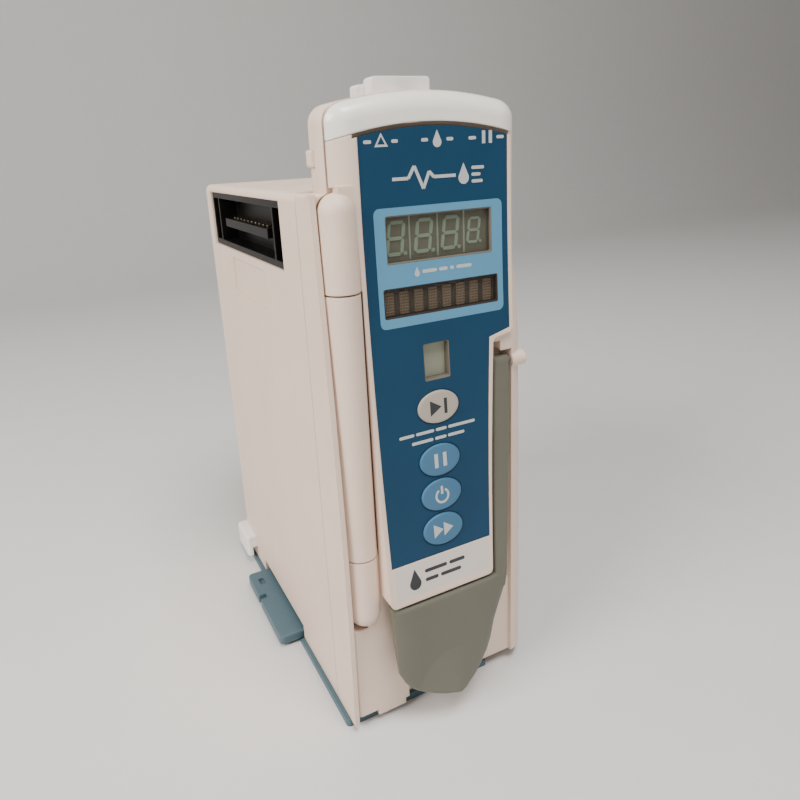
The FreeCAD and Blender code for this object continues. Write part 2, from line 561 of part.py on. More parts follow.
back = box(("inner_left + 2.1", "inner_right - 2.1"), (-56, "inner_rear - 0.4"),
           ("slot_top + 3.1", "inner_high - 2.1"))
back_low = box(("inner_left + 2.1", "slot_left_low - 2.5"), (-56, "inner_rear - 0.4"),
               ("inner_low + 26.1", "slot_top + 4"))
platen_hole = box(("channel_x - 9.4", "channel_x + 9.4"), (-60, -50), (61, 136))
node("door_back", cut(fuse(back, back_low), platen_hole,
                      box(("channel_x - 3", "channel_x + 3"), (-60, -50), (50, 210)),
                      *[rod("y", 1.3, -60, -50, at) for at in SCREWS]))
node("door_screws", group(*[cross_screw(1.1, 2.3, -60.2, "inner_rear - 0.4", -53.2, at) for at in SCREWS]))
platen = fuse(soft_box(("channel_x - 9", "channel_x + 9"), (-56.4, -54.2), (61.4, 135.6), "y", 1.5),
              soft_box(("channel_x - 11", "channel_x + 11"), (-57.6, -56.3), (59.4, 137), "y", 1.5),
              box(("channel_x - 7", "channel_x + 7"), (-54.3, -53.9), (64, 133)))
node("platen", cut(platen, *[rod("y", 3.0, -60, -50, at) for at in SCREWS]))
node("platen_springs", group(*[tube("y", 2.2, 1.5, -59.2, -58.8, ("channel_x", z)) for z in (74, 123)]))

# ------------------------------------------------------------------ lever
arm = outline((("slot_left_low + 0.6", 40), ("slot_left_low + 0.6", "panel_bottom - 1.2"),
               ("slot_left_top + 0.4", "pivot_z"), ("slot_left_top + 0.4", "pivot_z + 2.6"),
               ("lever_right_top", "pivot_z + 2.6"), ("lever_right_top - 0.8", "pivot_z - 20"),
               ("lever_right_mid", 75), ("lever_right_low", 50), ("lever_right_low", 40)), "y", -90, -63)
arm_head = fuse(rod("x", 4.7, 0, 60, ("pivot_y", "pivot_z")),
                box((0, 60), (-90, -63), (20, "pivot_z")))
arm = cut(common(arm, arm_head), sweep("0.4"), box((-60, 60), (-90, 0), (-1, 41)))
grip_side = outline(((-75.4, "panel_bottom - 1.2"), (-76.2, 36), (-77.2, 26), (-80.4, 12.8), (-77.6, 12.8),
                     (-73.8, 26), (-71.4, 36), (-69.6, "panel_bottom - 1.2")), "x", -40, 40)
grip_front = outline(((-25.6, "panel_bottom - 1.2"), (-24.8, 26), (-21.9, 20.4), (-18.4, 16.4), (-12.2, 13.6),
                      (-4.4, 12.8), (1.4, 13.2), (6.4, 15.4), (10.8, 19.6), (14.2, 27), (17.4, 39),
                      ("lever_right_low - 0.6", 47), ("lever_right_low", "panel_bottom - 1.2")), "y", -90, -60)
grip_piece = common(grip_front, grip_side)
arm_foot = box(("slot_left_low + 0.6", "lever_right_low - 0.5"), (-75, -63), (46, "panel_bottom - 1.3"))
tooth = fuse(box((19.8, 24.2), (-64, -54.4), (70, 79)), box((19.8, 24.2), (-54.5, -52.2), (71, 78)))
pin_hole = rod("x", "pin + running", 0, 60, ("pivot_y", "pivot_z"))
node("latch_lever", cut(fuse(arm, grip_piece, arm_foot, tooth), pin_hole))
node("lever_pin", rod("x", "pin", "slot_left_top - 5.5", "slot_right + 4.2", ("pivot_y", "pivot_z")))
node("latch_keeper", cut(box((17.0, 28.0), (-53.5, -51.6), (61, 87)),
                         box((19.2, 25.2), (-60, -50), (66, 82))))

# -------------------------------------------------------------- mechanism
face = box(("bay_left + 0.4", "bay_right - 0.4"), (-51.6, "case_seam - 0.3"), ("bay_low + 0.4", "case_top - 1.2"))
flange = box((-31, 33.4), ("case_seam - 0.3", -48.6), (26, 187.6))
finger_slot = box(("channel_x - 6.4", "channel_x + 6.4"), (-60, -40), (66.2, 131.2))
SENSORS = (46, 144)
sensor_slots = [box(("channel_x - 5.1", "channel_x + 5.1"), (-60, -40), (low, low + 12.4)) for low in SENSORS]
node("mechanism_plate", cut(fuse(face, flange), finger_slot, *sensor_slots))
LIFT = (0.0, 0.25, 0.75, 1.0, 0.75, 0.25)
COUNT = int(VALUE["fingers"])
node("pump_fingers", group(*[
    box(("channel_x - 6", "channel_x + 6"), (-52.2 + 0.4 * LIFT[i % 6], -31 + 0.4 * LIFT[i % 6]),
        (f"67.0 + finger_pitch * {i}", f"71.6 + finger_pitch * {i}"))
    for i in range(COUNT)]))
node("pressure_sensors", group(*[
    fuse(box(("channel_x - 5", "channel_x + 5"), (-52.4, -42), (low + 0.2, low + 12.2)),
         rod("y", 2.4, -53.0, -52.0, ("channel_x", low + 6.2)))
    for low in SENSORS]))
node("air_detector", fuse(box(("channel_x - 8", "channel_x - 2.4"), (-57.0, -51.6), (37, 45)),
                          box(("channel_x + 2.4", "channel_x + 8"), (-57.0, -51.6), (37, 45)),
                          box(("channel_x - 8", "channel_x + 8"), (-52.6, -51.6), (37, 45))))
node("flow_regulator_seat", cut(box(("channel_x - 8", "channel_x + 8"), (-57.0, -51.6), (30.6, 36)),
                                rod("z", 2.8, 20, 40, ("channel_x", -56.4)),
                                box(("channel_x - 2.8", "channel_x + 2.8"), (-60, -56.4), (20, 40))))

shaft = rod("z", 3.0, 46, 150, ("channel_x", "cam_y"))
cams = [rod("z", 7.4, f"67.3 + finger_pitch * {i}", f"71.3 + finger_pitch * {i}",
            (f"channel_x + {0.5 * (i % 3) - 0.5}", f"cam_y + {0.5 - 0.5 * LIFT[i % 6]}")) for i in range(COUNT)]
wheel = cut(rod("z", 11, 50, 51.6, ("channel_x", "cam_y")),
            *[rod("z", 1.6, 49, 53, (f"channel_x + {x}", f"cam_y + {y}"))
              for x, y in ((8, 0), (-8, 0), (0, 8), (0, -8))])
node("camshaft", fuse(shaft, *cams, wheel))
bearing_plates = [cut(box(("channel_x - 12", "channel_x + 12"), (-48.6, -12), (low, high)),
                      rod("z", "3 + running", 40, 160, ("channel_x", "cam_y")))
                  for low, high in ((59.5, 64), (133, 138))]
struts = [box((f"channel_x + {x}", f"channel_x + {x + 2}"), (-48.6, -12), (59.5, 138)) for x in (-12, 10)]
node("camshaft_bearings", fuse(*bearing_plates, *struts))
motor_can = soft_box(("channel_x - motor_half", "channel_x + motor_half"),
                     ("cam_y - motor_half", "cam_y + motor_half"), (140, 182), "z", 3.0)
motor_foot = box(("channel_x - 12", "channel_x + 12"), (-34, -12), (138, 140))
node("motor", cut(fuse(motor_can, motor_foot), rod("z", "3 + running", 130, 151, ("channel_x", "cam_y"))))
node("encoder_sensor", cut(box(("channel_x - 6", "channel_x + 6"), (-15, -6), (46, 56)),
                           box(("channel_x - 7", "channel_x + 7"), (-16, -9), (49, 53))))

# ------------------------------------------------- boards, speaker, holder
board_studs = [rod("x", 2, "-case_half + wall", -34.4, (y, z)) for y in (-24, 60) for z in (26, 144)]
node("main_board", fuse(box((-34.4, -32.8), (-30, 66), (20, 150)), *board_studs,
                        *[box((-32.8, -30.4), (y, y + 14), (z, z + 14))
                          for y in (-20, 10, 40) for z in (36, 80, 124)]))
power_studs = [rod("y", 2, 51.6, "case_rear - wall", (x, z)) for x in (-20, 26) for z in (24, 106)]
node("power_board", fuse(box((-24, 30), (50, 51.6), (20, 110)), *power_studs,
                         *[rod("y", 5, 34, 50, (x, z)) for x in (-14, 2) for z in (36, 60)],
                         box((12, 26), (38, 50), (60, 96))))
node("encoder_bracket", box(("channel_x - 6", "channel_x + 6"), (-18, -6), (56, 59.5)))
node("speaker", cut(fuse(rod("y", 14, 70.5, "case_rear - wall", (0, 140)), rod("y", 8, 62, 70.5, (0, 140))),
                    rod("y", 12, "case_rear - wall - 1", 80, (0, 140))))
holder = rounded(box(("boss_left", "boss_right"), ("tower_rear", "boss_rear"), ("case_top", "boss_top")), 1.2,
                 lambda edge, mid: mid.z > VALUE["boss_top"] - 0.2 and mid.y > VALUE["tower_rear"] + 0.1)
holder_back = rounded(box(("boss_left - 2.6", "boss_right - 4.8"), ("boss_rear - 1", "boss_rear + 5"),
                          ("case_top", "boss_top - 1.9")), 1.0,
                      lambda edge, mid: mid.z > VALUE["boss_top"] - 2.0 and mid.y > VALUE["boss_rear"] + 1)
node("upper_fitment_holder", fuse(holder, holder_back))

# ----------------------------------------------------------- check and save
doc.recompute()
os.makedirs("parts", exist_ok=True)
for obj in doc.Objects:
    assert "Invalid" not in obj.State and "Error" not in obj.State, f"{obj.Name} {obj.State}"
for obj in NODES:
    shape = obj.Shape
    assert not shape.isNull() and shape.isValid(), f"bad shape {obj.Label}"
    shape.exportStep(f"parts/{obj.Label}.step")
    bounds = shape.BoundBox
    print(f"{obj.Label:24s} solids {len(shape.Solids):3d} volume {shape.Volume / 1000:8.2f} cm3 "
          f"X {bounds.XMin:7.1f} {bounds.XMax:7.1f} Y {bounds.YMin:7.1f} {bounds.YMax:7.1f} "
          f"Z {bounds.ZMin:7.1f} {bounds.ZMax:7.1f}")
print(len(NODES), "nodes")
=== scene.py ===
import json
import math

import bmesh
import bpy
from mathutils import Matrix, Vector


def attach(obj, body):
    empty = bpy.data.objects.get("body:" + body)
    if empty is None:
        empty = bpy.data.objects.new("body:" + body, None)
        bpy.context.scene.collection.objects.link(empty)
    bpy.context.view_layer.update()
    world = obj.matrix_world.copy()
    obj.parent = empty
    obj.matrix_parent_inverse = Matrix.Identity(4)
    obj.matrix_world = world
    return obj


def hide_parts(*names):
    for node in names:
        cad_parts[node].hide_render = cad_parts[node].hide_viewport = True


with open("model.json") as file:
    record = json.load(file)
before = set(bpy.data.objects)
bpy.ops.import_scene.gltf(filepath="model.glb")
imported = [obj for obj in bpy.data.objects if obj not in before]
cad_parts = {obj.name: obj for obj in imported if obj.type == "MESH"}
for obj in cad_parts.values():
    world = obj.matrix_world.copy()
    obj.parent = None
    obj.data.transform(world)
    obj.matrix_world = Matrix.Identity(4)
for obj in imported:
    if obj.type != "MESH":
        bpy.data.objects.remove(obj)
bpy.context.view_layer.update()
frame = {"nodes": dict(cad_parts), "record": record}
NODES = frame["nodes"]
MM = 0.001

# ------------------------------------------------------------------ materials
BUMP_STRENGTH, BEVEL_SAMPLES = 0.6, 6
GRAIN_DETAIL, MOTTLE_SCALE, MOTTLE_DETAIL = 3.0, 45.0, 5.0
MOTTLE_LOW, MOTTLE_HIGH = 0.3, 0.72
GLOSS_SPREAD, LEAST_ROUGHNESS, COAT_ROUGHNESS = 0.06, 0.02, 0.12
SCATTER_RADIUS = (0.004, 0.0036, 0.003)


def new_material(name):
    mat = bpy.data.materials.new(name)
    mat.use_nodes = True
    return mat, mat.node_tree, mat.node_tree.nodes["Principled BSDF"]


def finish_surface(tree, shader, height, distance, bevel):
    """Fine relief and softened edges in the shader's normal."""
    bump = tree.nodes.new("ShaderNodeBump")
    bump.inputs["Strength"].default_value = BUMP_STRENGTH
    bump.inputs["Distance"].default_value = distance
    tree.links.new(height, bump.inputs["Height"])
    if bevel:
        soft = tree.nodes.new("ShaderNodeBevel")
        soft.samples = BEVEL_SAMPLES
        soft.inputs["Radius"].default_value = bevel
        tree.links.new(soft.outputs["Normal"], bump.inputs["Normal"])
    tree.links.new(bump.outputs["Normal"], shader.inputs["Normal"])


def surface(name, colour, roughness=0.45, grain=900.0, relief=0.00004, vary=0.06,
            metallic=0.0, coat=0.0, bevel=0.0006, alpha=1.0, stretch=(1.0, 1.0, 1.0),
            subsurface=0.0, specular=0.5):
    """A moulded or machined surface.

    Broad noise mottles the base colour; fine grain runs in the normal and the gloss.
    """
    mat, tree, shader = new_material(name)
    place = tree.nodes.new("ShaderNodeTexCoord")
    scale = tree.nodes.new("ShaderNodeMapping")
    scale.inputs["Scale"].default_value = stretch
    tree.links.new(place.outputs["Object"], scale.inputs["Vector"])
    fine = tree.nodes.new("ShaderNodeTexNoise")
    fine.inputs["Scale"].default_value = grain
    fine.inputs["Detail"].default_value = GRAIN_DETAIL
    broad = tree.nodes.new("ShaderNodeTexNoise")
    broad.inputs["Scale"].default_value = MOTTLE_SCALE
    broad.inputs["Detail"].default_value = MOTTLE_DETAIL
    for tex in (fine, broad):
        tree.links.new(scale.outputs["Vector"], tex.inputs["Vector"])
    ramp = tree.nodes.new("ShaderNodeValToRGB")
    low, high = ramp.color_ramp.elements
    low.position, high.position = MOTTLE_LOW, MOTTLE_HIGH
    low.color = (*[c * (1.0 - vary) for c in colour], 1.0)
    high.color = (*[min(1.0, c * (1.0 + vary)) for c in colour], 1.0)
    tree.links.new(broad.outputs["Fac"], ramp.inputs["Fac"])
    tree.links.new(ramp.outputs["Color"], shader.inputs["Base Color"])
    rough = tree.nodes.new("ShaderNodeMapRange")
    rough.inputs["To Min"].default_value = max(LEAST_ROUGHNESS, roughness - GLOSS_SPREAD)
    rough.inputs["To Max"].default_value = roughness + GLOSS_SPREAD
    tree.links.new(fine.outputs["Fac"], rough.inputs["Value"])
    tree.links.new(rough.outputs["Result"], shader.inputs["Roughness"])
    shader.inputs["Metallic"].default_value = metallic
    shader.inputs["Coat Weight"].default_value = coat
    shader.inputs["Coat Roughness"].default_value = COAT_ROUGHNESS
    shader.inputs["Alpha"].default_value = alpha
    shader.inputs["Specular IOR Level"].default_value = specular
    if subsurface:
        shader.inputs["Subsurface Weight"].default_value = subsurface
        shader.inputs["Subsurface Radius"].default_value = SCATTER_RADIUS
    finish_surface(tree, shader, fine.outputs["Fac"], relief, bevel)
    return mat


LOOKS = {
    "body_plastic": surface(
        "warm white plastic", (0.80, 0.635, 0.525), 0.46, grain=1500, relief=0.00003,
        vary=0.025, specular=0.4),
    "lens_plastic": surface(
        "milky lens plastic", (0.95, 0.90, 0.82), 0.24, relief=0.00001, vary=0.012,
        coat=0.25, bevel=0.0009, subsurface=0.35),
    "panel_film": surface(
        "deep blue film", (0.0080, 0.047, 0.100), 0.55, grain=2400, relief=0.00002,
        vary=0.06, bevel=0.0002, specular=0.22),
    "select_key_plastic": surface(
        "grey white key", (0.42, 0.375, 0.315), 0.5, grain=1800, vary=0.03,
        bevel=0.0003, specular=0.3),
    "key_plastic": surface(
        "light blue key", (0.055, 0.158, 0.270), 0.5, grain=1800, vary=0.04,
        bevel=0.0003, specular=0.3),
    "lever_plastic": surface(
        "sage grey plastic", (0.130, 0.128, 0.098), 0.42, grain=1400, relief=0.00002,
        vary=0.04, specular=0.35),
    "base_plastic": surface(
        "slate plastic", (0.072, 0.130, 0.160), 0.45, grain=1300, vary=0.05,
        specular=0.35),
    "connector_plastic": surface(
        "black plastic", (0.0045, 0.0035, 0.0035), 0.38, grain=900, relief=0.000008,
        vary=0.2, bevel=0.0004, specular=0.22),
    "contact_metal": surface(
        "plated contact", (0.62, 0.52, 0.36), 0.22, metallic=1.0, bevel=0.0002,
        stretch=(1, 1, 6)),
    "display_glass": surface(
        "smoked window", (0.075, 0.066, 0.052), 0.12, grain=300, relief=0.000004,
        vary=0.08, bevel=0.0, alpha=0.30, specular=0.3),
    "segment_plastic": surface(
        "unlit segment", (0.60, 0.80, 0.60), 0.55, vary=0.05, bevel=0.0001,
        specular=0.2),
    "cell_glass": surface(
        "unlit cell", (0.42, 0.29, 0.175), 0.36, grain=900, vary=0.18, bevel=0.0001,
        specular=0.2),
    "module_plastic": surface(
        "dark module", (0.036, 0.025, 0.020), 0.5, vary=0.12, bevel=0.0003,
        specular=0.25),
    "board_laminate": surface(
        "solder mask", (0.012, 0.085, 0.035), 0.35, grain=260, vary=0.25, bevel=0.0002),
    "led_lens": surface(
        "clear diode", (0.72, 0.69, 0.56), 0.25, vary=0.04, bevel=0.0003),
    "steel": surface(
        "bright steel", (0.58, 0.58, 0.60), 0.28, vary=0.06, metallic=1.0,
        bevel=0.0002, stretch=(1, 1, 12)),
    "motor_metal": surface(
        "cast alloy", (0.42, 0.42, 0.44), 0.45, grain=1600, relief=0.00006, vary=0.08,
        metallic=0.9),
    "mechanism_plastic": surface(
        "mechanism plastic", (0.30, 0.32, 0.335), 0.48, grain=1200, vary=0.04),
    "foot_rubber": surface(
        "foot rubber", (0.022, 0.022, 0.024), 0.8, grain=2200, relief=0.00006,
        vary=0.15),
}
MATT_PRINT = {"bevel": 0.0, "specular": 0.2}
INK_LIGHT = surface(
    "light print", (0.50, 0.52, 0.52), 0.5, grain=2600, vary=0.05, **MATT_PRINT)
INK_PANEL = surface(
    "light blue print", (0.105, 0.290, 0.450), 0.45, grain=2200, vary=0.04, **MATT_PRINT)
INK_DARK = surface(
    "dark print", (0.045, 0.045, 0.05), 0.5, grain=2600, vary=0.2, **MATT_PRINT)
LABEL_WHITE = surface(
    "white label", (0.68, 0.62, 0.56), 0.5, grain=1800, vary=0.02, bevel=0.0, specular=0.3)
FRAME_TAN = surface(
    "window surround", (0.15, 0.132, 0.105), 0.5, grain=1500, vary=0.05, bevel=0.0002,
    specular=0.3)
LIQUID_GREY = surface(
    "display backing", (0.31, 0.32, 0.245), 0.5, grain=700, vary=0.05, **MATT_PRINT)
BRIGHT_WHITE = surface(
    "bright white plastic", (0.93, 0.91, 0.87), 0.42, grain=1500, relief=0.00003, vary=0.02)
# painted shade: a dark brown that stands in for the shadow cast by the overhanging cap into
# the groove
GROOVE_PAINTED_SHADE = surface(
    "painted groove shade", (0.20, 0.155, 0.12), 0.6, grain=1500, vary=0.05, **MATT_PRINT)

for entry in frame["record"]["subparts"]:
    mesh = NODES[entry["node"]].data
    mesh.materials.clear()
    mesh.materials.append(LOOKS[entry["material_slot"]])
for name in ("upper_fitment_holder", "locating_hook"):
    NODES[name].data.materials[0] = BRIGHT_WHITE

# -------------------------------------------------------------- shaping tools
# All shapes from here to the lever are in millimetres; put() turns them into metres.
SWEEP_RADIUS, SWEEP_Y, SWEEP_Z = 1295.0, -65.5, 209.0
SHEET_STRIP = 4.0


def front(z):
    """The concave front face: Y for a height."""
    return SWEEP_Y - SWEEP_RADIUS + math.sqrt(SWEEP_RADIUS ** 2 - (z - SWEEP_Z) ** 2)


def behind_front(drop):
    """The front face moved back by `drop`."""
    return lambda z: front(z) + drop


def flat(y):
    """An upright plane at one Y."""
    return lambda z: y


def put(name, bm, body, material, replaces=()):
    """Turn a bmesh in millimetres into a piece that rides on a body."""
    bmesh.ops.recalc_face_normals(bm, faces=bm.faces)
    mesh = bpy.data.meshes.new(name)
    bm.to_mesh(mesh)
    bm.free()
    mesh.transform(Matrix.Scale(MM, 4))
    obj = bpy.data.objects.new(name, mesh)
    bpy.context.scene.collection.objects.link(obj)
    mesh.materials.append(material)
    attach(obj, body)
    if replaces:
        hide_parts(*replaces)
    return obj


def smooth(obj, angle=35.0):
    """Shade smooth, with edges sharper than the angle left crisp."""
    for face in obj.data.polygons:
        face.use_smooth = True
    obj.data.set_sharp_from_angle(angle=math.radians(angle))
    return obj


def rounded_outline(x0, x1, z0, z1, radius, steps=6):
    points = []
    for cx, cz, start in ((x1 - radius, z1 - radius, 0), (x0 + radius, z1 - radius, 90),
                          (x0 + radius, z0 + radius, 180), (x1 - radius, z0 + radius, 270)):
        for i in range(steps + 1):
            a = math.radians(start + 90 * i / steps)
            points.append((cx + radius * math.cos(a), cz + radius * math.sin(a)))
    return points


def oval_outline(x, z, a, b, count=40, start=0.0, sweep=360.0):
    """An oval of half-axes a and b; less than a full turn also gets its end point."""
    steps = count if sweep >= 359.9 else count + 1
    return [(x + a * math.cos(math.radians(start + sweep * i / count)),
             z + b * math.sin(math.radians(start + sweep * i / count)))
            for i in range(steps)]


def bar_outline(x0, z0, x1, z1, width):
    """A straight bar with cut ends between two points."""
    dx, dz = x1 - x0, z1 - z0
    length = math.hypot(dx, dz)
    nx, nz = -dz / length * width / 2, dx / length * width / 2
    return [(x0 + nx, z0 + nz), (x0 - nx, z0 - nz), (x1 - nx, z1 - nz), (x1 + nx, z1 + nz)]


def skin(bm, rings):
    """Join a stack of equal rings of vertices with four-sided faces."""
    count = len(rings[0])
    for low, high in zip(rings, rings[1:]):
        for i in range(count):
            j = (i + 1) % count
            bm.faces.new((low[i], low[j], high[j], high[i]))


def only(geom, kind):
    return [item for item in geom if isinstance(item, kind)]


def sheet_mesh(bm, loops, surface_y, lift, thickness):
    """A thin plate over the outline loops (outer first, then holes), laid on surface_y(z).

    It is cut into level strips first, so that it follows a curved face.
    """
    edges = []
    for loop in loops:
        verts = [bm.verts.new((x, 0.0, z)) for x, z in loop]
        edges += [bm.edges.new((verts[i], verts[(i + 1) % len(verts)]))
                  for i in range(len(verts))]
    made = bmesh.ops.triangle_fill(bm, edges=edges, use_beauty=True)
    faces = only(made["geom"], bmesh.types.BMFace)
    zs = [z for loop in loops for _, z in loop]
    level = math.floor(min(zs) / SHEET_STRIP) * SHEET_STRIP + SHEET_STRIP
    while level < max(zs):
        geom = set(faces)
        for face in faces:
            geom.update(face.verts)
            geom.update(face.edges)
        result = bmesh.ops.bisect_plane(
            bm, geom=list(geom), plane_co=(0, 0, level), plane_no=(0, 0, 1))
        faces = only(result["geom"], bmesh.types.BMFace)
        level += SHEET_STRIP
    for vert in {v for face in faces for v in face.verts}:
        vert.co.y = surface_y(vert.co.z) - lift
    grown = bmesh.ops.extrude_face_region(bm, geom=faces)
    moved = only(grown["geom"], bmesh.types.BMVert)
    bmesh.ops.translate(bm, verts=moved, vec=(0, thickness, 0))


def print_shape(name, shapes, material, body="door", surface_y=front, lift=0.06,
                thickness=0.1):
    """One printed piece from several shapes; each shape is a list of loops."""
    bm = bmesh.new()
    for loops in shapes:
        part = bmesh.new()
        sheet_mesh(part, loops, surface_y, lift, thickness)
        temp = bpy.data.meshes.new("temp")
        part.to_mesh(temp)
        part.free()
        bm.from_mesh(temp)
        bpy.data.meshes.remove(temp)
    return put(name, bm, body, material)


# -------------------------------------------------------------- printed panel
# Windows and fields are (x0, x1, z0, z1).
RATE = (-17.4, 21.8, 170.3, 185.2)
MESSAGE = (-19.4, 23.8, 153.3, 162.9)
CHANNEL = (-6.5, 3.4, 130.5, 143.3)
DISPLAY_FIELD = (-21.1, 26.0, 150.2, 187.6)
NAME_BAND = (-24.2, 14.4, 55.9, 67.6)

# Plain bars stand where a maker would print words: rows of (height, ((x, width), ...)).
INDICATOR_BARS = ((206.4, ((-23.0, 2.6), (-13.8, 2.2), (-3.6, 2.4), (5.4, 2.4),
                           (13.5, 2.8), (24.2, 2.8))),)
MARK_BARS = ((197.4, ((14.4, 4.8),)), (195.3, ((14.4, 3.4),)), (193.2, ((14.4, 4.2),)))
RATE_BARS = ((166.5, ((-5.2, 5.4), (1.0, 3.2), (5.2, 1.4), (7.6, 5.9))),)
HINT_BARS = ((112.6, ((-17.7, 5.6), (-11.4, 7.0), (-3.7, 4.2), (1.2, 10.8))),
             (109.6, ((-13.2, 8.2), (-4.2, 4.4), (0.9, 6.6))))
BAND_BARS = ((63.0, ((-12.6, 9.0), (-2.6, 6.4))), (59.7, ((-12.6, 5.2), (-6.4, 8.4))))

print_shape("display_field", [[rounded_outline(*DISPLAY_FIELD, 2.0),
                               rounded_outline(*RATE, 0.6, 3),
                               rounded_outline(*MESSAGE, 0.6, 3)]],
            INK_PANEL, lift=0.03, thickness=0.06)


def droplet(x, z, size):
    low = oval_outline(x, z - 0.25 * size, 0.42 * size, 0.42 * size, 22, 150, 240)
    return low + [(x, z + 0.75 * size)]


def triangle(x, z, size):
    return [(x - 0.62 * size, z - 0.5 * size), (x + 0.62 * size, z - 0.5 * size),
            (x, z + 0.6 * size)]


def short_bars(rows, tall):
    """Rounded bars of one height, from a table of rows."""
    return [[rounded_outline(x, x + w, z, z + tall, 0.45 * tall, 3)]
            for z, row in rows for x, w in row]


# an outlined triangle, a droplet and two upright bars between the words
indicators = [[triangle(-17.2, 207.2, 3.6), triangle(-17.2, 207.1, 2.1)],
              [droplet(2.0, 207.0, 3.6)]]
indicators += [[bar_outline(x, 205.1, x, 209.0, 1.2)] for x in (19.2, 21.8)]
indicators += short_bars(INDICATOR_BARS, 1.0)
print_shape("indicator_marks", indicators, INK_LIGHT)

# a plain wave line and a droplet stand where a maker would put a name
WAVE = ((-14.1, 195.9), (-8.6, 195.9), (-6.4, 199.4), (-3.4, 192.6), (-1.2, 197.6),
        (0.4, 195.9), (8.4, 195.9))
wave = [[bar_outline(*start, *end, 1.0)] for start, end in zip(WAVE, WAVE[1:])]
wave.append([droplet(11.4, 196.1, 4.6)])
wave += short_bars(MARK_BARS, 1.0)
print_shape("generic_mark", wave, INK_LIGHT)

rate_label = [[droplet(-7.1, 167.1, 2.2)]] + short_bars(RATE_BARS, 1.1)
print_shape("rate_marks", rate_label, INK_LIGHT, lift=0.07)
print_shape("clamp_hint_marks", short_bars(HINT_BARS, 1.0), INK_LIGHT)

print_shape("name_band", [[rounded_outline(*NAME_BAND, 0.8, 4)]], LABEL_WHITE,
            lift=0.02, thickness=0.1)
name_mark = [[droplet(-16.6, 61.6, 5.4)]] + short_bars(BAND_BARS, 1.3)
print_shape("name_band_mark", name_mark, INK_DARK, lift=0.06)

ARCH_RADIUS, ARCH_Z = 130.3, 91.4
GROOVE_TOP_DROP, GROOVE_LOW_DROP, GROOVE_Y = 9.6, 10.7, -64.7
GROOVE_XS = [*range(-26, 30, 2), 29.3]


def arch_line(drop, x):
    """Height of the arched top, lowered by `drop`, at one X."""
    return ARCH_Z + math.sqrt((ARCH_RADIUS - drop) ** 2 - x ** 2)


groove = [(x, arch_line(GROOVE_LOW_DROP, x)) for x in GROOVE_XS]
groove += [(x, arch_line(GROOVE_TOP_DROP, x)) for x in reversed(GROOVE_XS)]
# the groove under the cap is real; its floor sheet carries painted shade for the cap's
# shadow
print_shape("groove_floor", [[groove]], GROOVE_PAINTED_SHADE,
            surface_y=flat(GROOVE_Y), lift=0.0, thickness=0.08)

# -------------------------------------------------------------------- windows
SURROUND_GAP, SURROUND_OUTER_DROP, SURROUND_INNER_DROP = 0.02, 0.05, 0.25


def inset_outline(window, inset, radius):
    x0, x1, z0, z1 = window
    return rounded_outline(x0 + inset, x1 - inset, z0 + inset, z1 - inset, radius, 3)


def surround(name, window, depth_y, wide, material):
    """A thin frame lining a window from the panel's face down to the glass."""
    outer = inset_outline(window, SURROUND_GAP, 0.55)
    inner = inset_outline(window, wide, 0.4)
    rim, inner_rim = behind_front(SURROUND_OUTER_DROP), behind_front(SURROUND_INNER_DROP)
    path = ((outer, rim), (outer, flat(depth_y)), (inner, flat(depth_y)),
            (inner, inner_rim), (outer, rim))
    bm = bmesh.new()
    skin(bm, [[bm.verts.new((x, y_of(z), z)) for x, z in points] for points, y_of in path])
    bmesh.ops.remove_doubles(bm, verts=bm.verts, dist=0.0005)
    return put(name, bm, "door", material)


surround("rate_surround", RATE, depth_y=-64.82, wide=0.45, material=FRAME_TAN)
surround("message_surround", MESSAGE, depth_y=-65.42, wide=0.4,
         material=LOOKS["module_plastic"])
surround("channel_surround", CHANNEL, depth_y=-64.62, wide=0.3, material=FRAME_TAN)

RATE_BACKING = (-19.0, 23.4, 170.0, 185.6)
CHANNEL_BACKING = (-6.2, 3.2, 130.9, 142.9)
print_shape("rate_backing", [[rounded_outline(*RATE_BACKING, 0.3, 2)]], LIQUID_GREY,
            surface_y=flat(-63.58), lift=0.0, thickness=0.06)
print_shape("channel_backing", [[rounded_outline(*CHANNEL_BACKING, 0.3, 2)]], LIQUID_GREY,
            surface_y=flat(-64.64), lift=0.0, thickness=0.03)

# the digits lean to the right; the last one is smaller
SLANT = math.tan(math.radians(7.0))
DIGIT_MID, DIGIT_WIDE, DIGIT_HALF_TALL, DIGIT_BAR, DIGIT_GAP = 178.0, 5.1, 4.9, 1.1, 0.16
DIGITS = ((-13.0, 1.0), (-2.9, 1.0), (7.0, 1.0), (16.1, 0.79))
SEPARATOR_LOW, SEPARATOR_TOP, SEPARATOR_WIDE = 171.0, 184.6, 0.5


def segment_shapes(x, mid, wide, tall, bar):
    """Seven pointed bars and a round point; `tall` is half the digit's height."""
    def lean(points):
        return [[(px + (pz - mid) * SLANT, pz) for px, pz in points]]

    half = bar / 2
    shapes = []
    for level in (-1, 0, 1):
        z = mid + level * tall
        x0, x1 = x - wide / 2 + DIGIT_GAP, x + wide / 2 - DIGIT_GAP
        shapes.append(lean([(x0, z), (x0 + half, z - half), (x1 - half, z - half), (x1, z),
                            (x1 - half, z + half), (x0 + half, z + half)]))
    for side in (-1, 1):
        for low in (-1, 0):
            cx = x + side * wide / 2
            z0, z1 = mid + low * tall + DIGIT_GAP, mid + (low + 1) * tall - DIGIT_GAP
            shapes.append(lean([(cx, z0), (cx + half, z0 + half), (cx + half, z1 - half),
                                (cx, z1), (cx - half, z1 - half), (cx - half, z0 + half)]))
    shapes.append([oval_outline(x + wide / 2 + bar * 1.25 - tall * SLANT, mid - tall,
                                bar * 0.55, bar * 0.55, 14)])
    return shapes


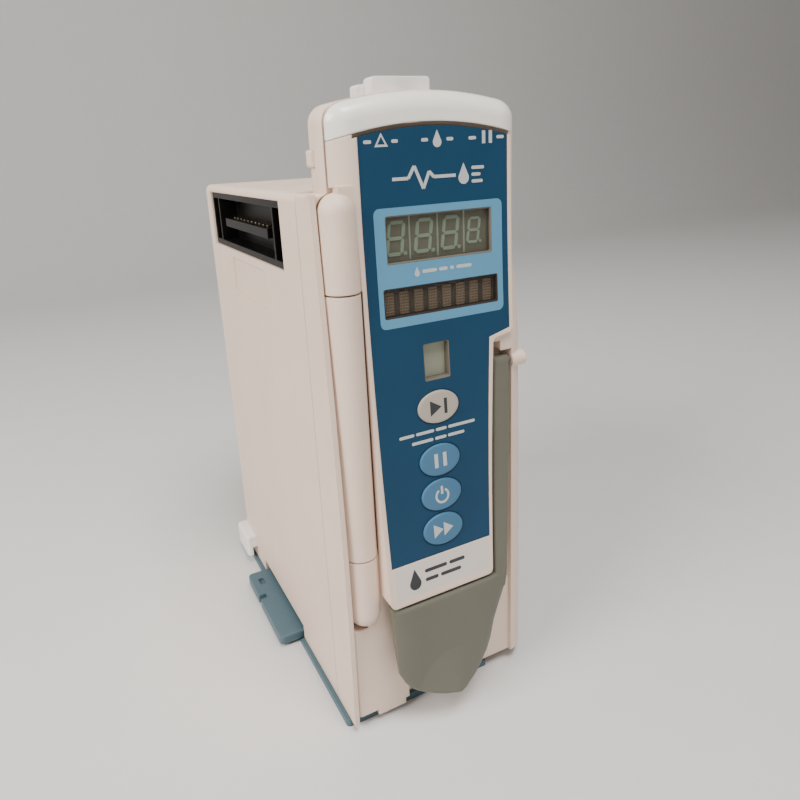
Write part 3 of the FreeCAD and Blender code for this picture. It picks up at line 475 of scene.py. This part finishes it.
digit_shapes = []
for x, grow in DIGITS:
    digit_shapes += segment_shapes(x, DIGIT_MID, DIGIT_WIDE * grow, DIGIT_HALF_TALL * grow,
                                   DIGIT_BAR * grow)
digits = print_shape("digit_segments", digit_shapes, LOOKS["segment_plastic"],
                     surface_y=flat(-63.9), lift=0.0, thickness=0.3)
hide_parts("rate_digits")
separators = [[rounded_outline(x, x + SEPARATOR_WIDE, SEPARATOR_LOW, SEPARATOR_TOP, 0.2, 2)]
              for x in (-8.2, 2.0, 12.0)]
print_shape("digit_separators", separators, LOOKS["segment_plastic"],
            surface_y=flat(-63.85), lift=0.0, thickness=0.25)

CELL_COUNT, CELL_PITCH, CELL_LEFT, CELL_LOW = 8, 5.31, -18.2, 154.0
CELL_WIDE, CELL_TALL = 3.1, 7.2
DOT_COLUMNS, DOT_ROWS, DOT_PITCH_X, DOT_PITCH_Z = 5, 7, 0.6, 0.94
DOT_LEFT, DOT_LOW, DOT_WIDE, DOT_TALL = 0.18, 0.45, 0.34, 0.55

cell_shapes = [[rounded_outline(CELL_LEFT + CELL_PITCH * i,
                                CELL_LEFT + CELL_WIDE + CELL_PITCH * i,
                                CELL_LOW, CELL_LOW + CELL_TALL, 0.2, 2)]
               for i in range(CELL_COUNT)]
cells = print_shape("message_cell_tiles", cell_shapes, LOOKS["cell_glass"],
                    surface_y=flat(-64.78), lift=0.0, thickness=0.3)
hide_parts("message_cells")


def cell_dot(cell, column, row):
    """One unlit dot of a message cell."""
    left = CELL_LEFT + CELL_PITCH * cell + DOT_LEFT + DOT_PITCH_X * column
    low = CELL_LOW + DOT_LOW + DOT_PITCH_Z * row
    return [rounded_outline(left, left + DOT_WIDE, low, low + DOT_TALL, 0.05, 1)]


dots = [cell_dot(cell, column, row) for cell in range(CELL_COUNT)
        for column in range(DOT_COLUMNS) for row in range(DOT_ROWS)]
print_shape("message_dots", dots, LOOKS["module_plastic"],
            surface_y=flat(-64.79), lift=0.0, thickness=0.02)

# ----------------------------------------------------------------------- keys
# Caps are ovals of half-axes KEY_A (across) and KEY_B (up).
KEY_A, KEY_B, KEY_RISE, KEY_POINTS = 7.9, 5.6, 0.6, 48
# the stop flange, as (y, growth across, growth up)
KEY_FLANGE = ((-61.9, 1.4, 0.5), (-63.1, 1.4, 0.5), (-63.1, 0.0, 0.0))
# the stem and the domed top, as (inset from the oval, rise in front of the face)
KEY_DOME = ((0.0, 0.1), (0.04, 0.3), (0.18, 0.46), (0.45, 0.53), (1.2, 0.56), (3.4, 0.56))
KEYS = (("select", -2.2, 121.1, "select_key_plastic"), ("pause", -3.0, 102.3, "key_plastic"),
        ("off", -3.4, 89.7, "key_plastic"), ("restart", -3.9, 77.1, "key_plastic"))
SEAL_OUTER, SEAL_INNER = 0.42, 0.06


def key_oval(x, z, grow_x, grow_z):
    return oval_outline(x, z, KEY_A + grow_x, KEY_B + grow_z, KEY_POINTS)


def key_mesh(name, x, z, node, body, slot):
    """A domed oval key with its stem and stop flange."""
    bm = bmesh.new()
    rings = [[bm.verts.new((px, y, pz)) for px, pz in key_oval(x, z, grow_x, grow_z)]
             for y, grow_x, grow_z in KEY_FLANGE]
    rings += [[bm.verts.new((px, front(pz) - rise, pz))
               for px, pz in key_oval(x, z, -inset, -inset)] for inset, rise in KEY_DOME]
    skin(bm, rings)
    bm.faces.new(rings[-1])
    bm.faces.new(list(reversed(rings[0])))
    return smooth(put(name, bm, body, LOOKS[slot], replaces=(node,)))


for word, x, z, slot in KEYS:
    key_mesh(f"{word}_key_cap", x, z, f"{word}_key", word, slot)

# a soft blue lip closes the gap round each key
seals = [[key_oval(x, z, SEAL_OUTER, SEAL_OUTER), key_oval(x, z, SEAL_INNER, SEAL_INNER)]
         for _, x, z, _ in KEYS]
print_shape("key_seals", seals, LOOKS["panel_film"], lift=-0.16,
            thickness=0.4)


def ring_shape(x, z, radius, width, start, span):
    """An open ring, as one loop out and back."""
    outer = oval_outline(x, z, radius, radius, 20, start, span)
    inner = oval_outline(x, z, radius - width, radius - width, 20, start, span)
    return outer + list(reversed(inner))


def pointer(x, z, long, half):
    """A triangle that points to the right."""
    return [(x, z - half), (x + long, z), (x, z + half)]


def upright(x, z, half, width):
    """A bar that stands over one X."""
    return bar_outline(x, z - half, x, z + half, width)


def key_icon(word, x, z):
    """The generic symbol on a key: play and bar, two bars, power ring or double arrow."""
    if word == "select":
        return [[[(x - 3.4, z - 2.7), (x + 1.0, z), (x - 3.4, z + 2.7)]],
                [upright(x + 2.6, z, 2.7, 1.2)]]
    if word == "pause":
        return [[upright(x + side, z, 2.5, 1.4)] for side in (-1.7, 1.7)]
    if word == "off":
        return [[ring_shape(x, z - 0.3, 2.8, 0.8, 120, 300)],
                [bar_outline(x, z + 0.3, x, z + 3.2, 0.9)]]
    return [[pointer(x + side, z, 3.7, 2.5)] for side in (-3.9, 0.1)]


for word, x, z, slot in KEYS:
    ink = INK_DARK if word == "select" else INK_LIGHT
    print_shape(f"{word}_key_mark", key_icon(word, x, z), ink, body=word,
                surface_y=behind_front(-KEY_RISE), lift=0.0, thickness=0.08)

# ---------------------------------------------------------------------- lever
# Tables are (height, value) pairs, highest first.
GRIP_LEFT = ((52.1, -25.6), (26.0, -24.9), (22.0, -23.0), (19.0, -20.9), (16.6, -18.2),
             (14.8, -14.6), (13.6, -10.6), (13.0, -6.8), (12.8, -3.2))
GRIP_RIGHT = ((52.1, 22.2), (47.0, 21.4), (40.0, 18.4), (33.0, 15.6), (26.0, 13.8),
              (21.0, 11.8), (18.0, 9.4), (15.6, 6.2), (14.0, 3.2), (13.1, 0.8), (12.8, -1.8))
GRIP_FRONT = ((52.1, -75.4), (36.0, -76.0), (26.0, -76.5), (12.8, -77.1))
GRIP_BACK = ((52.1, -70.0), (36.0, -71.6), (26.0, -73.9), (12.8, -77.4))
GRIP_HEIGHTS = ([52.1, 51.7, 51.3] + [50.9 - 0.55 * i for i in range(67)]
                + [13.8, 13.4, 13.1, 12.9, 12.8])
GRIP_ACROSS, GRIP_LEAST_THICK, GRIP_EDGE_ROUND = 56, 1.5, 1.3
GRIP_BEVEL_FROM, GRIP_BEVEL_SLOPE = 51.2, 1.1
THUMB_X, THUMB_Z, THUMB_WIDE, THUMB_TALL, THUMB_OUT = -3.0, 12.6, 15.6, 17.0, 3.3

ARM_LEFT = ((133.1, 21.8), (130.5, 21.8), (52.2, 16.8), (46.0, 16.8))
ARM_RIGHT = ((133.1, 28.4), (110.5, 27.6), (75.0, 24.7), (52.0, 22.3), (46.0, 21.4))
ARM_HEIGHTS = ([46.0, 49.0] + [52.2 + 3.9 * i for i in range(20)]
               + [128.6, 130.5, 131.6, 132.4, 132.8, 133.1])
ARM_EDGE, ARM_BACK_Y, ARM_FORWARD_LIMIT, ARM_BEHIND_FACE = 0.7, -63.0, -74.9, 0.4
ARM_BEVEL_FROM, ARM_BEVEL_SLOPE = 132.0, 0.5
PIVOT_Y, PIVOT_Z, HEAD = -63.5, 130.5, 4.7
# two boxes behind the arm, root and tip, as (x0, x1, y0, y1, z0, z1)
TOOTH_BOXES = ((19.8, 24.2, -64.0, -54.4, 70.0, 79.0),
               (19.8, 24.2, -54.5, -52.2, 71.0, 78.0))


def between(table, z):
    """Straight-line reading of a short table of (height, value) pairs, highest first."""
    for (z1, v1), (z0, v0) in zip(table, table[1:]):
        if z >= z0:
            t = (z - z0) / (z1 - z0)
            return v0 + (v1 - v0) * t
    return table[-1][1]


def loft(bm, rings):
    """Close a stack of equal rings of points into a solid."""
    loops = [[bm.verts.new(p) for p in ring] for ring in rings]
    skin(bm, loops)
    bm.faces.new(loops[0])
    bm.faces.new(list(reversed(loops[-1])))


def thumb_rise(x, z):
    """How far the half-moon thumb tab stands in front of the grip."""
    reach = math.hypot((x - THUMB_X) / THUMB_WIDE, (z - THUMB_Z) / THUMB_TALL)
    return THUMB_OUT * max(0.0, 1.0 - reach)


def grip_rings():
    """The broad grip, with rolled side edges and the thumb tab."""
    rings = []
    for z in GRIP_HEIGHTS:
        left, right = between(GRIP_LEFT, z), between(GRIP_RIGHT, z)
        top_bevel = max(0.0, z - GRIP_BEVEL_FROM) * GRIP_BEVEL_SLOPE
        face = []
        for i in range(GRIP_ACROSS + 1):
            u = -1 + 2 * i / GRIP_ACROSS
            x = (left + right) / 2 + u * (right - left) / 2
            y = between(GRIP_FRONT, z) + GRIP_EDGE_ROUND * abs(u) ** 8 + top_bevel
            face.append((x, y - thumb_rise(x, z), z))
        back = [(x, max(between(GRIP_BACK, z), y + GRIP_LEAST_THICK), z)
                for x, y, z in reversed(face)]
        rings.append(face + back)
    return rings


def arm_rings():
    """The narrow arm that rises from the grip to the rounded pivot head."""
    rings = []
    for z in ARM_HEIGHTS:
        left, right = between(ARM_LEFT, z), between(ARM_RIGHT, z)
        y = max(front(z) + ARM_BEHIND_FACE, ARM_FORWARD_LIMIT)
        if z > PIVOT_Z:
            y = max(y, PIVOT_Y - math.sqrt(HEAD ** 2 - (z - PIVOT_Z) ** 2))
        y += max(0.0, z - ARM_BEVEL_FROM) * ARM_BEVEL_SLOPE
        rings.append([(left, y + ARM_EDGE, z), (left + ARM_EDGE, y, z),
                      (right - ARM_EDGE, y, z), (right, y + ARM_EDGE, z),
                      (right, ARM_BACK_Y, z), (left, ARM_BACK_Y, z)])
    return rings


bm = bmesh.new()
loft(bm, grip_rings())
loft(bm, arm_rings())
for x0, x1, y0, y1, z0, z1 in TOOTH_BOXES:
    loft(bm, [[(x0, y0, z), (x1, y0, z), (x1, y1, z), (x0, y1, z)] for z in (z0, z1)])
lever_piece = put("lever_arm_and_grip", bm, "lever", LOOKS["lever_plastic"],
                  replaces=("latch_lever",))
smooth(lever_piece, 40.0)

# ------------------------------------------------------------ light and stage
# From here on lengths are in metres.
FLOOR_FRONT, FLOOR_BACK, FLOOR_HALF_WIDE = -2.4, 0.9, 3.0
COVE_RADIUS, WALL_TOP = 0.5, 2.6


def stage_sheet():
    """A pale floor that curves up into a backdrop."""
    bm = bmesh.new()
    profile = [(FLOOR_FRONT, 0.0), (FLOOR_BACK, 0.0)]
    profile += [(FLOOR_BACK + COVE_RADIUS * math.sin(math.radians(a)),
                 COVE_RADIUS - COVE_RADIUS * math.cos(math.radians(a)))
                for a in range(10, 91, 10)]
    profile.append((FLOOR_BACK + COVE_RADIUS, WALL_TOP))
    rows = [[bm.verts.new((x, y, z)) for y, z in profile]
            for x in (-FLOOR_HALF_WIDE, FLOOR_HALF_WIDE)]
    for i in range(len(profile) - 1):
        bm.faces.new((rows[0][i], rows[1][i], rows[1][i + 1], rows[0][i + 1]))
    mesh = bpy.data.meshes.new("studio floor")
    bm.to_mesh(mesh)
    bm.free()
    for face in mesh.polygons:
        face.use_smooth = True
    obj = bpy.data.objects.new("studio_floor", mesh)
    bpy.context.scene.collection.objects.link(obj)
    mesh.materials.append(surface(
        "studio paper", (0.70, 0.69, 0.68), 0.9, grain=600, vary=0.01, bevel=0.0))


def area_light(name, location, target, size, power, colour):
    """A square lamp aimed at a point; size in metres, power in watts."""
    data = bpy.data.lights.new(name, "AREA")
    data.energy = power
    data.size = size
    data.color = colour
    obj = bpy.data.objects.new(name, data)
    obj.location = location
    aim = Vector(target) - Vector(location)
    obj.rotation_euler = aim.to_track_quat("-Z", "Y").to_euler()
    bpy.context.scene.collection.objects.link(obj)


stage_sheet()
area_light("key_light", location=(-0.95, -0.20, 0.75), target=(0, 0, 0.1), size=0.6,
           power=15.0, colour=(1.0, 0.95, 0.90))
area_light("fill_light", location=(0.25, -1.2, 0.6), target=(0, 0, 0.1), size=0.9,
           power=1.2, colour=(1.0, 0.965, 0.94))
area_light("top_light", location=(0.0, -0.45, 1.15), target=(0, 0, 0.15), size=0.5,
           power=13.0, colour=(1.0, 0.985, 0.96))

world = bpy.data.worlds.new("studio")
bpy.context.scene.world = world
world.use_nodes = True
background = world.node_tree.nodes["Background"]
background.inputs["Color"].default_value = (0.90, 0.875, 0.85, 1.0)
background.inputs["Strength"].default_value = 0.28

# --------------------------------------------------------------------- camera
# Position (metres), turn (degrees) and shift that lay the model over the photo.
CAMERA_AT = (-0.10763, -0.24726, 0.20434)
CAMERA_TURN = (73.350, 2.695, -27.522)
camera_data = bpy.data.cameras.new("camera")
camera_data.sensor_width = 36.0
camera_data.lens = 29.72
camera_data.shift_x = 0.0072
camera_data.shift_y = -0.0655
camera_data.clip_start = 0.01
camera_data.dof.use_dof = False
camera = bpy.data.objects.new("camera", camera_data)
camera.location = CAMERA_AT
camera.rotation_euler = [math.radians(a) for a in CAMERA_TURN]
bpy.context.scene.collection.objects.link(camera)
bpy.context.scene.camera = camera
